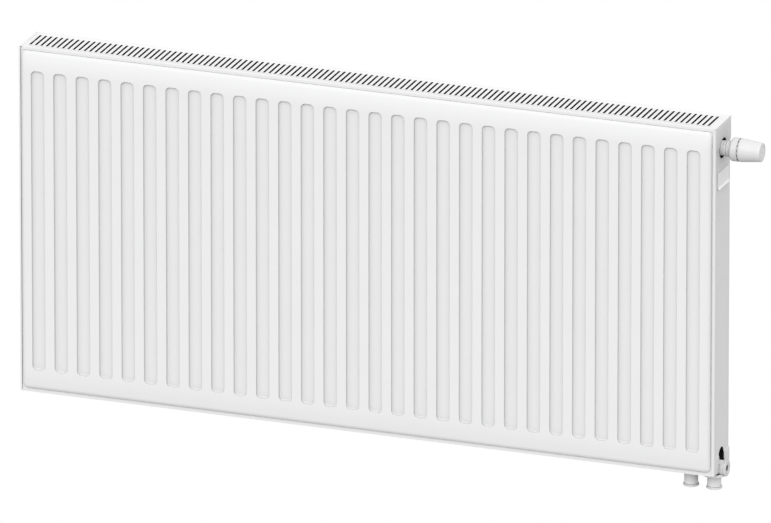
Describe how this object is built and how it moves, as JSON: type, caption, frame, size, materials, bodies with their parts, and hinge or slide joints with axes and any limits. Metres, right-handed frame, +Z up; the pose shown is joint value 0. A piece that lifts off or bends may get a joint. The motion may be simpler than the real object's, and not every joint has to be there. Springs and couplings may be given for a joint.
{
  "type": "panel radiator",
  "caption": "Double-panel white steel radiator with vertical grooves, slotted top grille, side covers, thermostatic head and bottom pipe connections.",
  "frame": {"origin": "in the plane of the hanging lugs' backs, at the middle of the casing's length, level with the lower edge of the side covers", "axes": "+X along the length towards the valve end, +Y towards the wall, +Z up"},
  "size_m": [1.6165, 0.113, 0.791],
  "materials": {
    "casing": "smooth white powder coat, semi-matt",
    "inner_steel": "dark electro-dip primer, matt",
    "fitting_steel": "white powder coat over welded steel",
    "protective_plastic": "moulded white polyethylene",
    "spring_steel": "bare spring steel",
    "badge_film": "blank printed film",
    "plug_metal": "white-coated brass plug",
    "brass_parts": "turned brass",
    "stainless": "ground stainless steel",
    "rubber_parts": "black EPDM",
    "head_plastic": "moulded white ABS, fine grain",
    "scale_plastic": "moulded light grey ABS",
    "union_metal": "white-coated brass nut and valve insert"
  },
  "bodies": {
    "radiator": {"bottom_left_plug": "plug_metal", "bottom_left_plug_seal": "rubber_parts", "bottom_left_tee": "fitting_steel", "drain_plug": "plug_metal", "drain_plug_seal": "rubber_parts", "front_convector": "inner_steel", "front_panel_inner_sheet": "inner_steel", "front_panel_outer_sheet": "casing", "gland_nut": "brass_parts", "grille_clips": "spring_steel", "head_base": "head_plastic", "head_union": "union_metal", "insert_seal": "rubber_parts", "left_cover_clips": "spring_steel", "left_side_cover": "casing", "lower_left_lug": "casing", "lower_right_lug": "casing", "rear_convector": "inner_steel", "rear_panel_inner_sheet": "inner_steel", "rear_panel_outer_sheet": "casing", "return_collar": "fitting_steel", "return_end_ring": "protective_plastic", "return_manifold": "fitting_steel", "return_socket": "fitting_steel", "right_cover_clips": "spring_steel", "right_side_cover": "casing", "scale_ring": "scale_plastic", "side_badge": "badge_film", "socket_bridge": "inner_steel", "supply_block": "fitting_steel", "supply_end_ring": "protective_plastic", "supply_riser": "inner_steel", "supply_socket": "fitting_steel", "top_grille": "casing", "top_left_tee": "fitting_steel", "upper_left_lug": "casing", "upper_right_lug": "casing", "valve_body": "fitting_steel", "valve_insert": "union_metal", "valve_spring": "spring_steel", "vent_plug": "plug_metal"},
    "knob": {"knob": "head_plastic", "knob_cap": "head_plastic"},
    "valve_stem": {"valve_pin": "stainless", "valve_disc": "rubber_parts", "push_rod": "brass_parts", "wax_sensor": "brass_parts", "head_spring": "spring_steel"},
    "vent_screw": {"vent_screw": "brass_parts"},
    "vent_spout": {"vent_spout": "head_plastic"}
  },
  "joints": [
    {"name": "knob_turn", "type": "hinge", "parent": "radiator", "child": "knob", "pos_m": [0.8, -0.057, 0.6955], "axis": [1, 0, 0], "range_deg": [-150, 150]},
    {"name": "valve_stem_slide", "type": "slide", "parent": "radiator", "child": "valve_stem", "axis": [1, 0, 0], "range_m": [-0.0013, 0.0013], "deforming": ["valve_spring", "head_spring"]},
    {"name": "vent_screw_turn", "type": "hinge", "parent": "radiator", "child": "vent_screw", "pos_m": [-0.77, -0.057, 0.6955], "axis": [-1, 0, 0], "range_deg": [0, 360]},
    {"name": "vent_spout_turn", "type": "hinge", "parent": "radiator", "child": "vent_spout", "pos_m": [-0.767, -0.057, 0.6955], "axis": [-1, 0, 0], "continuous": true}
  ],
  "couplings": [
    {"joint": "valve_stem_slide", "follows": "knob_turn", "m_per_rad": 0.000477}
  ]
}
